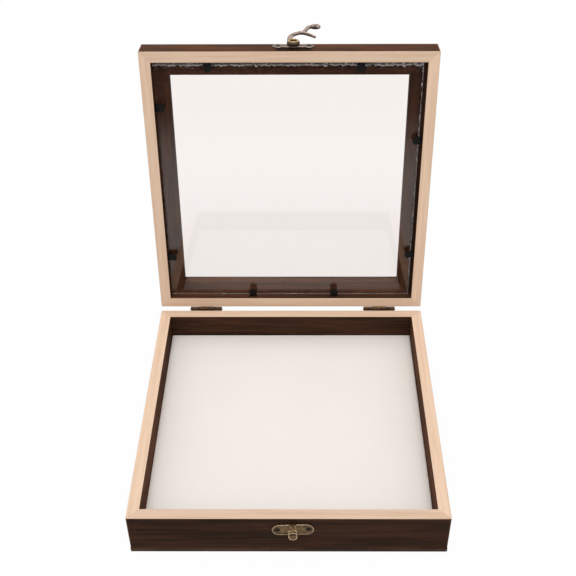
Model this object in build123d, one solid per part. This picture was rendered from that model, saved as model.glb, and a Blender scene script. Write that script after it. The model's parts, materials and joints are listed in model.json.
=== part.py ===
from build123d import *
from math import asin, atan2, degrees, hypot
import os

os.makedirs("parts", exist_ok=True)

# Insect specimen box, in millimetres: X to the right, Y to the back, Z up.
# The origin is the centre of the underside. Everything is drawn with the lid shut,
# then the lid and its hook are swung open about the hinge pins, as the box stands.

# Base
box_width = 200.0
box_depth = 200.0
wall = 7.6
wall_height = 29.4
panel_thickness = 3.0
panel_overhang = 0.2
foam_thickness = 11.4
foam_clearance = 0.2
corner_radius = 0.8
arris = 0.3

# Lid
lid_height = 16.5
rim_gap = 0.2
glass_drop = 5.7
glass_thickness = 2.0
glass_play = 2.0
glass_edge_gap = 0.2
lip_width = 10.8
lid_edge_radius = 1.2
window_edge_radius = 2.0

# Glazing points: distance along each rail from its middle, seen with the rail in front
point_places = {"front": (-55.0, 48.0), "right": (-36.0, 55.0), "back": (29.0, -33.0), "left": (60.0, -57.5)}
point_width = 5.4
point_reach = 7.0
point_tail = 3.5
point_thickness = 0.5
point_clip = 1.2
point_lift = 2.6
point_rise = 1.2

# Hinges
open_angle = 96.6
hinge_places = {"left": -65.4, "right": 68.1}
hinge_width = 24.0
leaf_height = 9.5
leaf_thickness = 0.8
leaf_corner = 1.0
knuckle_radius = 1.7
knuckle_clearance = 0.3
middle_knuckle = 11.0
knuckle_gap = 0.2
pin_radius = 0.8
pin_fit = 0.02
pin_running_fit = 0.06
pin_head = 0.3
heel_reach = 3.4
heel_thickness = 1.4
heel_clearance = 0.03
hinge_screw_spread = 14.0

# Screws: raised countersunk heads with a cross recess
screw_head_radius = 1.7
screw_head_dome = 0.25
screw_shank_radius = 0.8
screw_length = 5.5
screw_tip = 1.4
screw_fit = 0.05
screw_edge = 3.3
cross_length = 1.9
cross_width = 0.4
cross_depth = 0.45

# Latch: plate, hollow rivet and swing hook on the front of the lid
latch_x = 2.7
latch_up = 9.6
plate_field = 0.65
border_width = 0.7
border_height = 0.25
latch_boss_radius = 2.8
latch_boss_height = 1.7
latch_boss_border = 0.4
latch_lobe_radius = 3.6
latch_lobe_spread = 20.6
latch_neck_width = 5.0
latch_scallop_radius = 1.5
rivet_radius = 1.5
rivet_head_radius = 3.9
rivet_head_height = 1.0
rivet_dimple_radius = 2.8
rivet_dimple_depth = 0.85
running_fit = 0.05
eye_radius = 4.4
eye_thickness = 1.6
arm_lift = 0.95
arm_thickness = 2.3
arm_step_start = 4.3
arm_step_end = 6.9
thumb_radius = 3.7
thumb_centre = (15.0, 27.4)
thumb_lift = 1.2
thumb_step_start = 20.5
thumb_step_end = 24.5
thumb_extra_thickness = 0.6

# The arm's middle line and half width, right and up from the rivet, as the hook stands with the lid open
shaft_line = [(-2.4, 2.4, 1.5), (-2.5, 5.5, 1.75), (-1.8, 9.8, 1.65), (0.1, 13.9, 1.5), (3.0, 16.9, 1.4),
              (5.9, 18.7, 1.4), (8.0, 21.6, 1.4), (9.9, 25.0, 1.45), (12.3, 27.2, 1.8), (*thumb_centre, 2.2)]
prong_line = [(4.4, 17.7, 1.0), (7.1, 17.2, 1.1), (9.1, 15.4, 0.95), (11.9, 12.3, 0.85), (14.6, 8.45, 0.7)]

# Catch: stadium plate with a bent tongue on the front of the base
catch_width = 26.0
catch_height = 9.6
catch_tilt = 2.3
tongue_width = 5.4
tongue_neck_width = 4.4
tongue_thickness = 0.8
tongue_slope = 0.2
tongue_length = 8.15
tongue_bend = 1.5
tongue_clearance = 0.4
neck_clearance = 0.5

# A cutter that passes right through a plate or the hook is this long
through = 100.0

# Sizes and places that follow from the ones above
base_height = panel_thickness + wall_height
lid_rim = base_height + rim_gap
lip_depth = glass_drop + glass_thickness
pin_offset = knuckle_radius + knuckle_clearance
pivot = (0, box_depth / 2 + pin_offset, base_height + rim_gap / 2)
plate_thickness = plate_field + border_height
screw_head_depth = min(leaf_thickness, plate_field) - screw_fit
hinge_screw_drop = leaf_height - screw_edge
catch_screw_spread = catch_width - 2 * screw_edge

# The catch's tongue passes in front of the arm, and its neck just inside the path of the prong
arm_under = latch_boss_height + running_fit + arm_lift
tongue_reach = arm_under + arm_thickness + tongue_clearance + tongue_thickness
prong_path = min(hypot(x, y) - half for x, y, half in prong_line)
neck_under = prong_path - neck_clearance - latch_up - rim_gap
catch_drop = neck_under - tongue_thickness - tongue_slope + catch_height / 2

side_turn = {"front": 0, "right": 90, "back": 180, "left": 270}
side_length = {"front": box_width, "right": box_depth, "back": box_width, "left": box_depth}
side_place = {"front": (0, -box_depth / 2), "right": (box_width / 2, 0),
              "back": (0, box_depth / 2), "left": (-box_width / 2, 0)}
end_knuckle = (hinge_width - middle_knuckle) / 2 - knuckle_gap


def on_side(side, shape):
    """Carry a shape drawn along X, with its outer face at Y = 0 and inward +Y, to a side of the box."""
    x, y = side_place[side]
    return Location((x, y, 0), (0, 0, side_turn[side])) * shape


def vertices_at(sketch, places):
    """The corners of a section that lie at the given points."""
    near = 0.01
    return [v for v in sketch.vertices() for p in places if hypot(v.X - p[0], v.Y - p[1]) < near]


def mitred_bar(side, section, depth):
    """Extrude a section (inward, up) along one side and cut both ends at 45 degrees."""
    length = side_length[side]
    half = length / 2
    start = Plane(origin=(-half, 0, 0), x_dir=(0, 1, 0), z_dir=(1, 0, 0))
    bar = extrude(start * section, amount=length)
    top = section.bounding_box().max.Y
    ends = Polygon((-half, 0), (half, 0), (half - depth, depth), (depth - half, depth), align=None)
    bar = on_side(side, bar & extrude(ends, amount=top))
    column = extrude(RectangleRounded(box_width, box_depth, corner_radius), amount=top)
    return bar & column


def base_wall(side):
    """One wall of the base, on the bottom panel, its rim edges just broken."""
    section = Polygon((0, panel_thickness), (wall, panel_thickness), (wall, base_height), (0, base_height), align=None)
    section = fillet(vertices_at(section, [(0, base_height), (wall, base_height)]), arris)
    return mitred_bar(side, section, wall)


def lid_rail(side):
    """One rail of the lid: a rim wall and a lip that the glass lies against, outer edges rounded."""
    inner = wall + lip_width
    top = lid_rim + lid_height
    seat = lid_rim + lip_depth
    section = Polygon((0, lid_rim), (wall, lid_rim), (wall, seat), (inner, seat), (inner, top), (0, top), align=None)
    section = fillet(vertices_at(section, [(0, lid_rim), (wall, lid_rim), (inner, seat)]), arris)
    section = fillet(vertices_at(section, [(0, top)]), lid_edge_radius)
    section = fillet(vertices_at(section, [(inner, top)]), window_edge_radius)
    return mitred_bar(side, section, inner)


def bottom_panel():
    """The plywood bottom, glued under the walls and standing just proud of them."""
    width = box_width + 2 * panel_overhang
    depth = box_depth + 2 * panel_overhang
    return extrude(RectangleRounded(width, depth, corner_radius), amount=panel_thickness)


def pinning_foam():
    """The foam sheet that pins go into, cut to the inside of the walls."""
    inset = 2 * (wall + foam_clearance)
    sheet = Rectangle(box_width - inset, box_depth - inset)
    return Pos(0, 0, panel_thickness) * extrude(sheet, amount=foam_thickness)


def glass_pane():
    """The pane on the lip, pushed towards the left rail and the hinges."""
    width = box_width - 2 * wall - glass_play
    depth = box_depth - 2 * wall - glass_play
    shift = glass_play / 2 - glass_edge_gap
    return Pos(-shift, shift, lid_rim + glass_drop) * extrude(Rectangle(width, depth), amount=glass_thickness)


def glazing_point(side, along):
    """A thin steel point: its tail in the rail's inner face, its clipped end over the glass."""
    half = point_width / 2
    outline = Polygon((-half, -point_tail), (half, -point_tail), (half, point_reach - point_clip),
                      (half - point_clip, point_reach), (point_clip - half, point_reach),
                      (-half, point_reach - point_clip), align=None)
    tilt = degrees(atan2(point_rise, point_reach))
    strip = Rot(-tilt, 0, 0) * extrude(outline, amount=point_thickness / 2, both=True)
    return on_side(side, Pos(along, wall, lid_rim + glass_drop - point_lift) * strip)


def screw():
    """A screw along Z with the top of its plate at Z = 0."""
    r, h, rise = screw_shank_radius, screw_head_radius, screw_head_dome
    dome_radius = (h * h + rise * rise) / (2 * rise)
    sweep = degrees(asin(h / dome_radius))
    dome = CenterArc((0, rise - dome_radius), dome_radius, 90 - sweep, sweep)
    side = Polyline((0, rise), (0, -screw_length), (r, screw_tip - screw_length), (r, -screw_head_depth), (h, 0))
    body = revolve(make_face(Plane.XZ * (dome + side)), axis=Axis.Z)
    slot = Box(cross_length, cross_width, 2 * cross_depth)
    return body - Pos(0, 0, rise) * (slot + Rot(0, 0, 90) * slot)


def screw_seat():
    """What a plate loses for one screw: the hole and its countersink, which runs on past the face."""
    radius = screw_shank_radius + screw_fit
    slope = (screw_head_radius - screw_shank_radius) / screw_head_depth
    reach = 2 * screw_head_depth
    cone = Cone(radius, radius + slope * reach, reach, align=(Align.CENTER, Align.CENTER, Align.MIN))
    return Cylinder(radius, through) + Pos(0, 0, -screw_head_depth) * cone


def pilot_hole():
    """What the wood loses for one screw."""
    depth = screw_length + 2 * screw_fit
    return Cylinder(screw_shank_radius + screw_fit, depth, align=(Align.CENTER, Align.CENTER, Align.MAX))


def front_plane(x, z):
    """A plane on the front face at a point, with its Z outward and its Y up."""
    return Plane(origin=(x, -box_depth / 2, z), x_dir=(1, 0, 0), z_dir=(0, -1, 0))


def hinge_plane(place):
    """A plane on the back face at a hinge's pin height, with its Z outward and its Y up."""
    return Plane(origin=(place, box_depth / 2, pivot[2]), x_dir=(-1, 0, 0), z_dir=(0, 1, 0))


def on_pin(radius, length, middle=0):
    """A cylinder on the line of the pin, in a hinge's own plane."""
    return Pos(middle, 0, pin_offset) * Rot(0, 90, 0) * Cylinder(radius, length)


def leaf_blank(direction):
    """A flat leaf below (-1) or above (1) the pin, with its free corners rounded."""
    free = direction * leaf_height
    outline = Pos(0, free / 2) * Rectangle(hinge_width, leaf_height)
    outline = fillet(vertices_at(outline, [(-hinge_width / 2, free), (hinge_width / 2, free)]), leaf_corner)
    return extrude(outline, amount=leaf_thickness)


def knuckle_room(direction, width, middle):
    """What a leaf loses beside the other leaf's knuckle."""
    depth = knuckle_radius + knuckle_gap
    return Pos(middle, direction * depth / 2, 0) * Box(width, depth, through)


def leaf_screw_places(direction):
    half = hinge_screw_spread / 2
    return [(-half, direction * hinge_screw_drop), (half, direction * hinge_screw_drop)]


def drill_leaf(leaf, direction):
    for x, y in leaf_screw_places(direction):
        leaf -= Pos(x, y, leaf_thickness) * screw_seat()
    return leaf


def base_leaf(place):
    """The leaf on the base: two end knuckles, with room for the lid's knuckle between them."""
    leaf = leaf_blank(-1) - knuckle_room(-1, middle_knuckle + 2 * knuckle_gap, 0)
    middle = (hinge_width - end_knuckle) / 2
    for x in (-middle, middle):
        leaf = leaf + on_pin(knuckle_radius, end_knuckle, x) - on_pin(pin_radius + pin_fit, end_knuckle, x)
    return hinge_plane(place) * drill_leaf(leaf, -1)


def lid_leaf(place):
    """The leaf on the lid: the middle knuckle, and the heel that stops the lid when it is open."""
    leaf = leaf_blank(1)
    room = end_knuckle + knuckle_gap
    for middle in ((room - hinge_width) / 2, (hinge_width - room) / 2):
        leaf -= knuckle_room(1, room, middle)
    stop = leaf_thickness - pin_offset + heel_clearance
    heel = Box(middle_knuckle, heel_reach, heel_thickness, align=(Align.CENTER, Align.MAX, Align.MIN))
    heel = Pos(0, 0, pin_offset) * Rot(-open_angle, 0, 0) * Pos(0, 0, stop) * heel
    leaf = leaf + on_pin(knuckle_radius, middle_knuckle) + heel - on_pin(pin_radius + pin_running_fit, hinge_width)
    return hinge_plane(place) * drill_leaf(leaf, 1)


def hinge_pin(place):
    """The pin through all three knuckles, its ends just proud."""
    return hinge_plane(place) * on_pin(pin_radius, hinge_width + 2 * pin_head)


def hinge_screw_seats(direction):
    """The places of the screws in both leaves on the base (-1) or on the lid (1)."""
    seats = []
    for place in hinge_places.values():
        for x, y in leaf_screw_places(direction):
            seats.append(hinge_plane(place) * Pos(x, y, 0))
    return seats


def with_border(outline, inner):
    """A flat plate with a raised border round its field."""
    plate = extrude(outline, amount=plate_thickness)
    return plate - Pos(0, 0, plate_field) * extrude(inner, amount=through)


def latch_outline(inset):
    """The scalloped plate: a boss, two lobes and the necks between them."""
    half = latch_lobe_spread / 2
    shape = Circle(latch_boss_radius + latch_boss_border - inset)
    shape += Rectangle(latch_lobe_spread, latch_neck_width - 2 * inset)
    for x in (-half, half):
        shape += Pos(x, 0) * Circle(latch_lobe_radius - inset)
    hollows = [v for v in shape.vertices() if abs(v.X) < half and v.Y != 0]
    return fillet(hollows, latch_scallop_radius)


latch_plane = front_plane(latch_x, lid_rim + latch_up)
latch_screw_places = [(-latch_lobe_spread / 2, 0), (latch_lobe_spread / 2, 0)]
catch_plane = front_plane(latch_x, base_height - catch_drop) * Rot(0, 0, catch_tilt)
catch_screw_places = [(-catch_screw_spread / 2, 0), (catch_screw_spread / 2, 0)]


def latch_plate():
    """The plate on the lid, with lobes round the screws and a boss under the hook's eye."""
    plate = with_border(latch_outline(0), latch_outline(border_width))
    plate += extrude(Circle(latch_boss_radius), amount=latch_boss_height)
    for x, y in latch_screw_places:
        plate += Pos(x, y) * extrude(Circle(latch_lobe_radius - border_width), amount=plate_thickness)
        plate -= Pos(x, y, plate_thickness) * screw_seat()
    return latch_plane * (plate - Cylinder(rivet_radius + running_fit, through))


def latch_rivet():
    """The hollow rivet: a shank through the plate and the eye, and a dished head."""
    head = latch_boss_height + eye_thickness + 2 * running_fit
    rivet = extrude(Circle(rivet_radius), amount=head)
    rivet += Pos(0, 0, head) * extrude(Circle(rivet_head_radius), amount=rivet_head_height)
    top = head + rivet_head_height
    rivet = fillet(rivet.edges().group_by(Axis.Z)[-1], rivet_head_height / 2)
    dish = Cone(rivet_dimple_radius / 2, rivet_dimple_radius, rivet_dimple_depth,
                align=(Align.CENTER, Align.CENTER, Align.MAX))
    return latch_plane * (rivet - Pos(0, 0, top) * dish)


def ribbon(line):
    """A flat shape that follows a middle line, with its own half width at each point."""
    left, right = [], []
    for i, (x, y, half) in enumerate(line):
        before, after = line[max(i - 1, 0)], line[min(i + 1, len(line) - 1)]
        dx, dy = after[0] - before[0], after[1] - before[1]
        size = hypot(dx, dy)
        left.append((x - dy / size * half, y + dx / size * half))
        right.append((x + dy / size * half, y - dx / size * half))
    edges = Spline(*left) + Line(left[-1], right[-1]) + Spline(*right[::-1]) + Line(right[0], left[0])
    return make_face(edges)


def latch_hook():
    """The swing hook: an eye, a curved shaft, a prong for the catch and a horn with a thumb disc.

    Its outline is cut from a thick slab, and a stepped side view then lifts the shaft off the
    plate and the thumb disc off the shaft."""
    tip_x, tip_y, tip_half = prong_line[-1]
    outline = Circle(eye_radius) + ribbon(shaft_line) + ribbon(prong_line)
    outline += Pos(*thumb_centre) * Circle(thumb_radius)
    outline += Pos(tip_x, tip_y) * Circle(tip_half)
    low = latch_boss_height + running_fit
    arm_top = arm_under + arm_thickness
    thumb_under = arm_under + thumb_lift
    thumb_top = arm_top + thumb_lift + thumb_extra_thickness
    far = through / 2
    under = [(-far, low), (arm_step_start, low), (arm_step_end, arm_under), (thumb_step_start, arm_under),
             (thumb_step_end, thumb_under), (far, thumb_under)]
    over = [(far, thumb_top), (thumb_step_end, thumb_top), (thumb_step_start, arm_top), (arm_step_end, arm_top),
            (arm_step_start, low + eye_thickness), (-far, low + eye_thickness)]
    side_view = Plane(origin=(-far, 0, 0), x_dir=(0, 1, 0), z_dir=(1, 0, 0)) * Polygon(*under, *over, align=None)
    hook = extrude(outline, amount=through) & extrude(side_view, amount=through)
    return latch_plane * (hook - Cylinder(rivet_radius + running_fit, through))


def tongue():
    """The bent tongue: out over the hook's prong, then down to a rounded end."""
    top = catch_height / 2
    out, t, drop = tongue_reach, tongue_thickness, tongue_slope
    end = top - tongue_length
    profile = Polygon((0, top), (out, top - drop), (out, end), (out - t, end), (out - t, top - drop - t),
                      (0, top - t), align=None)
    profile = fillet(vertices_at(profile, [(out, top - drop)]), tongue_bend)
    profile = fillet(vertices_at(profile, [(out - t, top - drop - t)]), tongue_bend - t)
    half = tongue_width / 2
    across = Plane(origin=(0, 0, 0), x_dir=(0, 0, 1), z_dir=(-1, 0, 0))
    strip = extrude(across * profile, amount=half, both=True)
    for side in (-1, 1):
        middle = side * (tongue_neck_width + through) / 2
        strip -= Pos(middle, 0, out - t - through / 2) * Box(through, through, through)
    straight = tongue_length - half
    face = Pos(0, end + half) * Circle(half) + Pos(0, top - straight / 2) * Rectangle(tongue_width, straight)
    return strip & extrude(face, amount=through)


def catch_plate():
    """The stadium plate on the base, with the tongue bent out of its upper edge."""
    outline = SlotOverall(catch_width, catch_height)
    inner = SlotOverall(catch_width - 2 * border_width, catch_height - 2 * border_width)
    plate = with_border(outline, inner) + tongue()
    for x, y in catch_screw_places:
        plate -= Pos(x, y, plate_field) * screw_seat()
    return catch_plane * plate


def with_pilot_holes(wood, seats):
    for seat in seats:
        wood -= seat * pilot_hole()
    return wood


def group(pieces):
    """Several separate solids in one node."""
    return Compound([piece.solid() for piece in pieces])


def make_nodes():
    """Every node of the box, the lid shut."""
    base_seats = hinge_screw_seats(-1)
    lid_seats = hinge_screw_seats(1)
    latch_seats = [latch_plane * Pos(x, y, 0) for x, y in latch_screw_places]
    catch_seats = [catch_plane * Pos(x, y, 0) for x, y in catch_screw_places]
    points = [glazing_point(side, along) for side, places in point_places.items() for along in places]

    base = {f"base_{side}_wall": base_wall(side) for side in side_turn}
    base["base_back_wall"] = with_pilot_holes(base["base_back_wall"], base_seats)
    base["base_front_wall"] = with_pilot_holes(base["base_front_wall"], catch_seats)
    base["bottom_panel"] = bottom_panel()
    base["pinning_foam"] = pinning_foam()
    for side, place in hinge_places.items():
        base[f"hinge_{side}_base_leaf"] = base_leaf(place)
        base[f"hinge_{side}_pin"] = hinge_pin(place)
    base["base_hinge_screws"] = group([seat * Pos(0, 0, leaf_thickness) * screw() for seat in base_seats])
    base["catch_plate"] = catch_plate()
    base["catch_screws"] = group([seat * Pos(0, 0, plate_field) * screw() for seat in catch_seats])

    lid = {f"lid_{side}_rail": lid_rail(side) for side in side_turn}
    for name in lid:
        for point in points:
            lid[name] -= point
    lid["lid_back_rail"] = with_pilot_holes(lid["lid_back_rail"], lid_seats)
    lid["lid_front_rail"] = with_pilot_holes(lid["lid_front_rail"], latch_seats)
    lid["glass_pane"] = glass_pane()
    lid["glazing_points"] = group(points)
    for side, place in hinge_places.items():
        lid[f"hinge_{side}_lid_leaf"] = lid_leaf(place)
    lid["lid_hinge_screws"] = group([seat * Pos(0, 0, leaf_thickness) * screw() for seat in lid_seats])
    lid["latch_plate"] = latch_plate()
    lid["latch_rivet"] = latch_rivet()
    lid["latch_screws"] = group([seat * Pos(0, 0, plate_thickness) * screw() for seat in latch_seats])

    return base, lid, {"latch_hook": latch_hook()}


def swung_open(shape):
    """Turn a lid piece about the hinge pins from shut to open."""
    return shape.rotate(Axis(pivot, (1, 0, 0)), -open_angle)


base_nodes, lid_nodes, hook_nodes = make_nodes()
nodes = dict(base_nodes)
for name, shape in {**lid_nodes, **hook_nodes}.items():
    nodes[name] = swung_open(shape)

for name, shape in nodes.items():
    export_step(shape, f"parts/{name}.step")
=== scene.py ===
import json
import math

import bmesh
import bpy
import numpy as np
from mathutils import Matrix, Vector, noise


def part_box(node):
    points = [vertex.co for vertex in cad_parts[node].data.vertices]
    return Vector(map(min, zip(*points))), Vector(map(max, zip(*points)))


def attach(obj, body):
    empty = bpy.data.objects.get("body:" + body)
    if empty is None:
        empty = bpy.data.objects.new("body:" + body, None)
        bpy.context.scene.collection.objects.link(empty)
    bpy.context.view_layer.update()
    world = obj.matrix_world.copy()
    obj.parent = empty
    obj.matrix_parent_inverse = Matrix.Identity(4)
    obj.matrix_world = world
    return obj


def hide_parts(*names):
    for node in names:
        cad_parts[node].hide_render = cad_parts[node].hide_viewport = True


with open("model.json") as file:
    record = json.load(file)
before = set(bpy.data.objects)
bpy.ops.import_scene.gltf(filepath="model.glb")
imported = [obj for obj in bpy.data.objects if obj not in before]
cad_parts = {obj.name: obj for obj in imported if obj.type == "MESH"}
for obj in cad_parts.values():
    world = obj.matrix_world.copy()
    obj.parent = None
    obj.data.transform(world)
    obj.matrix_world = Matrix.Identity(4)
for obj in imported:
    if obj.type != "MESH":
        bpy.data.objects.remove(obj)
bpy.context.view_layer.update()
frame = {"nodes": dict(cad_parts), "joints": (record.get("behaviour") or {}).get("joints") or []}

# Base walls. Four lengths of straight-grained softwood, mitred and glued at the corners round the
# floor. They are stained walnut brown all over and rubbed with oil, and then the rim is sanded
# bare again, so that the pale wood shows there between crisp dark edges.
mm = 0.001
hinge = frame["joints"][0]
pivot = Vector(hinge["pos_m"])
lid_angle = math.radians(hinge["range_deg"][1])
open_to_shut = Matrix.Translation(pivot) @ Matrix.Rotation(lid_angle, 4, "X") @ Matrix.Translation(-pivot)
box_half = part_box("base_front_wall")[1].x / mm
rim_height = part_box("base_front_wall")[1].z / mm
wall_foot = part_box("base_front_wall")[0].z / mm
rim_middle = pivot.z / mm
lid_top = max((open_to_shut @ v.co).z for v in frame["nodes"]["lid_front_rail"].data.vertices) / mm
bare_edge = 0.16
mitre_width = 0.3
arris_width = 1.1

stain_deep = (43, 28, 20)
stain_brown = (66, 43, 31)
stain_light = (104, 72, 50)
stain_red = (122, 72, 42)
bare_pale = (242, 211, 185)
bare_fibre = (229, 195, 166)
bare_pore = (204, 166, 136)


class Wire:
    """One output of a node. Arithmetic on it adds Math nodes, so a mask reads as a plain sum."""

    def __init__(self, tree, socket=None):
        self.tree = tree
        self.socket = socket

    def node(self, kind, settings=None, values=None, output=0):
        """Add any other node: its type, its settings, and the values or links of its sockets."""
        made = self.tree.nodes.new(kind)
        for name, setting in (settings or {}).items():
            setattr(made, name, setting)
        for key, value in (values or {}).items():
            if isinstance(value, Wire):
                self.tree.links.new(value.socket, made.inputs[key])
            else:
                made.inputs[key].default_value = value
        return Wire(self.tree, made.outputs[output] if made.outputs else None)

    def maths(self, operation, *numbers):
        return self.node("ShaderNodeMath", {"operation": operation}, dict(enumerate(numbers)))

    def __add__(self, other):
        return self.maths("ADD", self, other)

    def __sub__(self, other):
        return self.maths("SUBTRACT", self, other)

    def __rsub__(self, other):
        return self.maths("SUBTRACT", other, self)

    def __mul__(self, other):
        return self.maths("MULTIPLY", self, other)

    def __truediv__(self, other):
        return self.maths("DIVIDE", self, other)

    def __abs__(self):
        return self.maths("ABSOLUTE", self)

    __radd__ = __add__
    __rmul__ = __mul__

    def larger(self, other):
        return self.maths("MAXIMUM", self, other)

    def smaller(self, other):
        return self.maths("MINIMUM", self, other)

    def root(self):
        return self.maths("SQRT", self)

    def ramp(self, low, high):
        """0 up to low, 1 from high on, and a smooth rise between them."""
        ends = {"Value": self, "From Min": low, "From Max": high}
        return self.node("ShaderNodeMapRange", {"interpolation_type": "SMOOTHSTEP"}, ends)

    def between(self, low, high):
        """A colour that goes from low to high as this mask goes from 0 to 1."""
        return self.node("ShaderNodeMix", {"data_type": "RGBA"}, {0: self, 6: low, 7: high}, 2)

    def shader_between(self, low, high):
        return self.node("ShaderNodeMixShader", {}, {0: self, 1: low, 2: high})

    def parts(self):
        """The X, Y and Z of a vector."""
        split = self.node("ShaderNodeSeparateXYZ", {}, {0: self})
        return [Wire(self.tree, socket) for socket in split.socket.node.outputs]

    def joined(self, x, y, z):
        return self.node("ShaderNodeCombineXYZ", {}, {0: x, 1: y, 2: z})

    def noise(self, seed, per_mm, detail=2.0, roughness=0.5):
        """Noise from 0 to 1 that changes this many times in a millimetre along X, Y and Z."""
        place = self.node("ShaderNodeMapping", {}, {"Vector": self, "Scale": per_mm})
        values = {"Vector": place, "W": seed, "Scale": 1.0, "Detail": detail, "Roughness": roughness}
        return self.node("ShaderNodeTexNoise", {"noise_dimensions": "4D"}, values)

    def bump(self, depth_mm, strength=1.0):
        """A normal for a relief that is this deep where the wire goes from 0 to 1."""
        values = {"Strength": strength, "Distance": depth_mm * mm, "Height": self}
        return self.node("ShaderNodeBump", {}, values)

    def surface(self, values):
        """End the material: these sockets of its shader, with everything else left plain."""
        shader = self.node("ShaderNodeBsdfPrincipled", {}, values)
        return self.node("ShaderNodeOutputMaterial", {}, {"Surface": shader})


def colour(chart, scale=1.0):
    """A colour for a socket, from the 0 to 255 values of a colour chart, each scaled."""
    shares = [value * scale / 255 for value in chart]
    return (*[s / 12.92 if s <= 0.04045 else ((s + 0.055) / 1.055) ** 2.4 for s in shares], 1.0)


def new_material(name):
    """A material with an empty tree, and a wire to start its nodes from."""
    made = bpy.data.materials.new(name)
    made.use_nodes = True
    made.node_tree.nodes.clear()
    return made, Wire(made.node_tree)


def place_mm(start, on_lid=False):
    """The place on the piece in millimetres, with the lid's pieces taken as they lie when it is shut."""
    turn = lid_angle if on_lid else 0.0
    moved = pivot - Matrix.Rotation(turn, 3, "X") @ pivot
    values = {
        "Vector": start.node("ShaderNodeTexCoord", output="Object"),
        "Location": moved / mm,
        "Rotation": (turn, 0, 0),
        "Scale": (1 / mm, 1 / mm, 1 / mm),
    }
    return start.node("ShaderNodeMapping", {}, values)


def paint(piece, material):
    """Give a CAD node its finish."""
    for slot in piece.material_slots:
        slot.material = material


def stained_wood(name, seed, along_y, on_lid, pale, deep, painted_shadow=None):
    """The wood of one rail, bare in the plane of the rim. pale and deep scale its two colours.
    The last argument gives the middle and half size, along and across, of a painted shadow: a patch where
    the stain is darkened as shade."""
    made, start = new_material(name)
    x, y, z = place_mm(start, on_lid).parts()
    grain = start.joined(y, x, z) if along_y else start.joined(x, y, z)
    bands = grain.noise(seed, (0.008, 0.11, 0.11), 3)
    rings = grain.noise(seed + 3, (0.018, 0.6, 0.6), 4, 0.6)
    fibres = grain.noise(seed + 5, (0.06, 3.2, 3.2), 2, 0.6)
    dashes = grain.noise(seed + 7, (0.09, 1.5, 1.5), 1).ramp(0.62, 0.76)
    warm = grain.noise(seed + 9, (0.024, 0.3, 0.3), 3).ramp(0.48, 0.72)

    rim_gap = abs(z - rim_middle) - abs(rim_height - rim_middle)
    bare = 1 - (rim_gap + (fibres - 0.5) * 0.1).ramp(0.05, bare_edge)
    mitre = 1 - abs(abs(x) - abs(y)).ramp(0.0, mitre_width)
    from_x = box_half - abs(x)
    from_y = box_half - abs(y)
    from_end = (lid_top - z) if on_lid else (z - wall_foot)
    corner = 1 - (from_x + from_y).ramp(0.1, arris_width)
    end = 1 - (from_end + from_x.smaller(from_y)).ramp(0.1, arris_width)
    rubbed = corner.larger(end) * rings.ramp(0.35, 0.62)

    depth = (bands * 0.6 + rings * 0.4).ramp(0.36, 0.64)
    stains = (stain_deep, stain_brown, stain_light, stain_red)
    darkest, brown, light, red = [colour(tone, deep) for tone in stains]
    stain = depth.between(darkest, brown)
    stain = (rings.ramp(0.54, 0.78) * 0.3).between(stain, light)
    stain = (warm * 0.14 + dashes * 0.3).between(stain, red)
    stain = (fibres.ramp(0.4, 0.22) * 0.45).between(stain, darkest)
    stain = (rubbed * 0.5).between(stain, light)
    # Painted shadow: the stain is darkened in a patch, as shade.
    if painted_shadow:
        middle_x, middle_z, half_x, half_z = painted_shadow
        along = 1 - abs(x - middle_x).ramp(half_x - 1.5, half_x + 1.5)
        across = 1 - abs(z - middle_z).ramp(half_z - 0.8, half_z + 0.8)
        stain = (along * across * 0.9).between(stain, colour(stain_deep, 0.7))

    wood = (rings.ramp(0.4, 0.66) * 0.8).between(colour(bare_pale, pale), colour(bare_fibre, pale))
    wood = (dashes * 0.22 + fibres.ramp(0.4, 0.24) * 0.25).between(wood, colour(bare_pore))
    wood = (mitre * 0.5).between(wood, colour(bare_pore))

    shade = bare.between((mitre * 0.6).between(stain, darkest), wood)
    roughness = bare * 0.16 + 0.5 + (rings - 0.5) * 0.2 - rubbed * 0.08
    relief = fibres * 0.5 + rings * 0.5 - mitre * 0.8
    oil = (1 - bare) * (0.1 + (rings - 0.5) * 0.06)
    values = {"Base Color": shade, "Roughness": roughness, "Specular IOR Level": 0.0, "Coat Weight": oil,
              "Coat Roughness": 0.38, "Normal": relief.bump(0.05, 0.6)}
    start.surface(values)
    return made


# Seed, pale and deep for each wall: its boards' colours scaled a little apart. The left and right walls'
# stain is scaled much lighter, as painted light for the light that their inner faces catch.
wall_wood = {
    "front": (11.0, 0.94, 0.96),
    "right": (23.0, 1.0, 1.5),
    "back": (37.0, 0.965, 1.08),
    "left": (41.0, 1.0, 1.42),
}
for side, (seed, pale, deep) in wall_wood.items():
    wood = stained_wood(f"wall_{side}", seed, side in ("left", "right"), False, pale, deep)
    paint(frame["nodes"][f"base_{side}_wall"], wood)

# Bottom panel. A thin sheet of three-ply birch, stained like the walls and glued and pressed
# under them. Its broad rotary-cut figure shows on the underside, and its plies on the edge.
ply_middle = 1.5
ply_half = 0.55
ply_figure = (86, 58, 44)
ply_dark = (34, 22, 18)


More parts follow.
